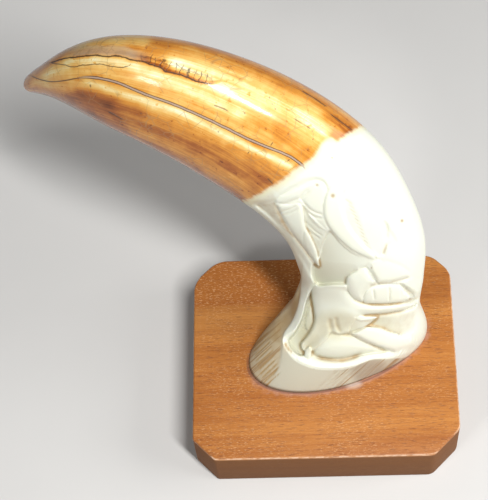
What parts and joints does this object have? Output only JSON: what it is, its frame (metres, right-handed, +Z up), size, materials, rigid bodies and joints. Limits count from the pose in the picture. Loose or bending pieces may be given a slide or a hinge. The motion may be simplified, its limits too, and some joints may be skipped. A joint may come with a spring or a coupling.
{
  "type": "carved tusk ornament on a wooden stand",
  "caption": "Curved warthog tusk, carved with animals between its root and its stained end, upright on a wooden block with cut corners.",
  "frame": {"origin": "centre of the stand's underside", "axes": "+Z up out of the stand, +X along the stand's long side to the right of the carved face, -Y towards the viewer of the carved face"},
  "size_m": [0.1359, 0.1006, 0.1379],
  "materials": {
    "stand_wood": "satin varnished red-brown hardwood",
    "tusk_ivory": "polished tusk, cream at the carving and stained honey to orange at the tip half"
  },
  "bodies": {
    "root": {"stand": "stand_wood", "tusk": "tusk_ivory"}
  },
  "joints": []
}
